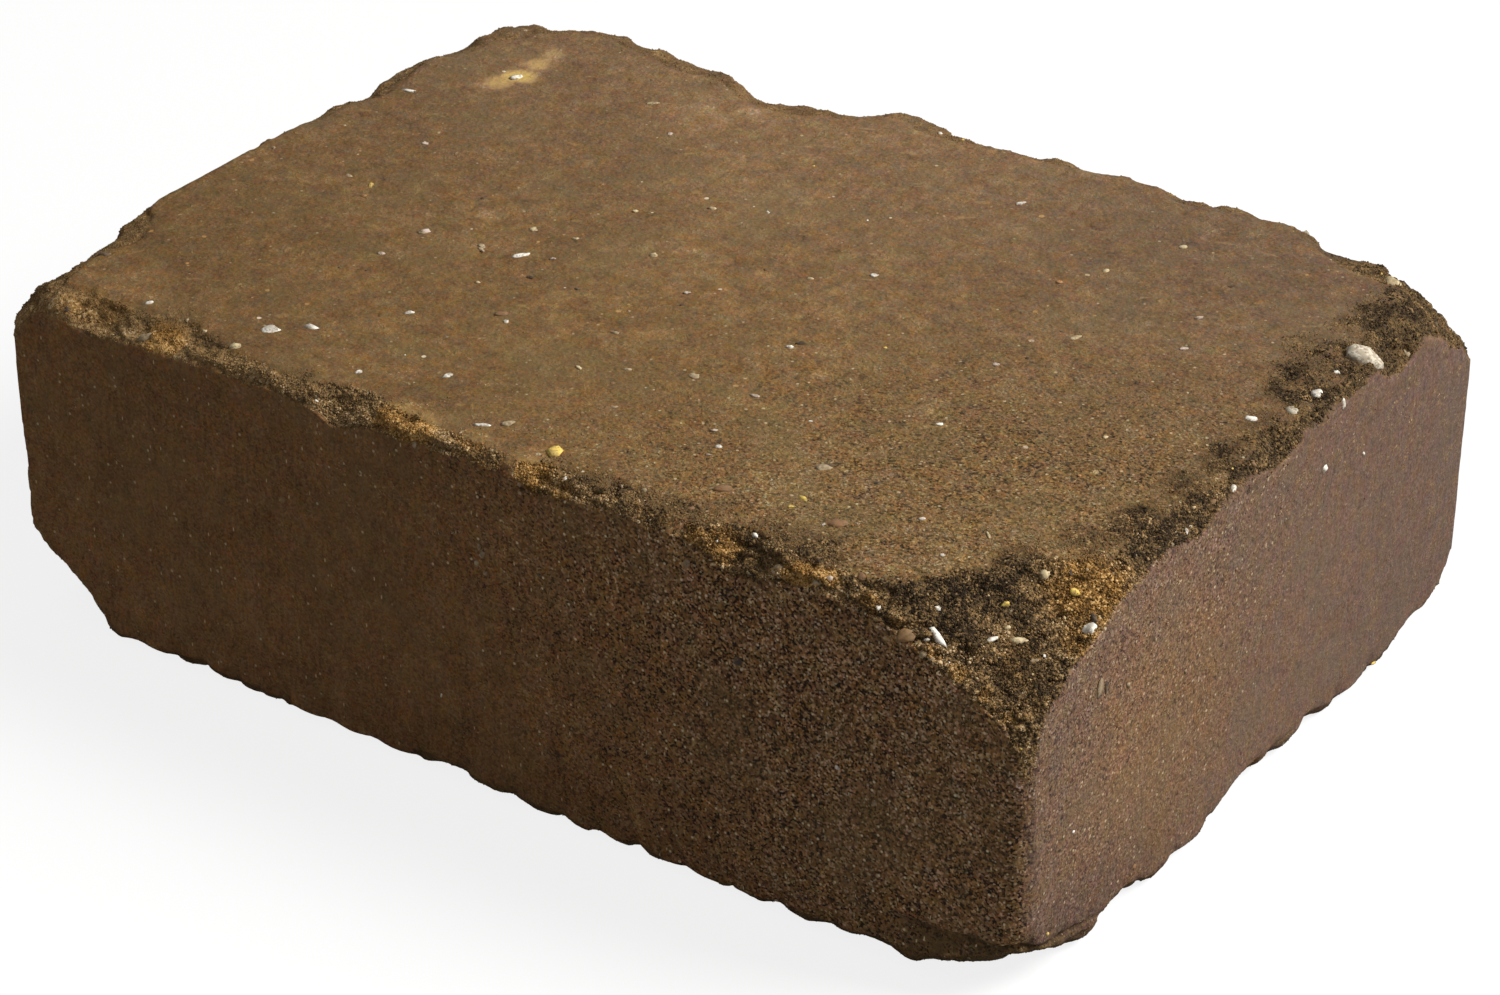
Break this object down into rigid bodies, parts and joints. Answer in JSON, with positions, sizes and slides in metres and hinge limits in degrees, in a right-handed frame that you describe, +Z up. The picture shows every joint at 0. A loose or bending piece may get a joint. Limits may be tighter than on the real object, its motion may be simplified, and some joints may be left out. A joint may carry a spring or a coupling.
{
  "type": "retaining wall block",
  "caption": "Solid rectangular tumbled concrete block for low dry-stacked retaining walls, with flat beds and ends, crumbled arrises and broken corners.",
  "frame": {"origin": "middle of the bottom bed, at the height of the bed", "axes": "+X along the length, +Y from the front face to the back face, +Z up from the bottom bed to the top bed"},
  "size_m": [0.28, 0.2, 0.09],
  "materials": {
    "cast_concrete": "dry, fine-grained through-coloured brown concrete, with rough crumbled arrises"
  },
  "bodies": {
    "root": {"wall_block": "cast_concrete"}
  },
  "joints": []
}
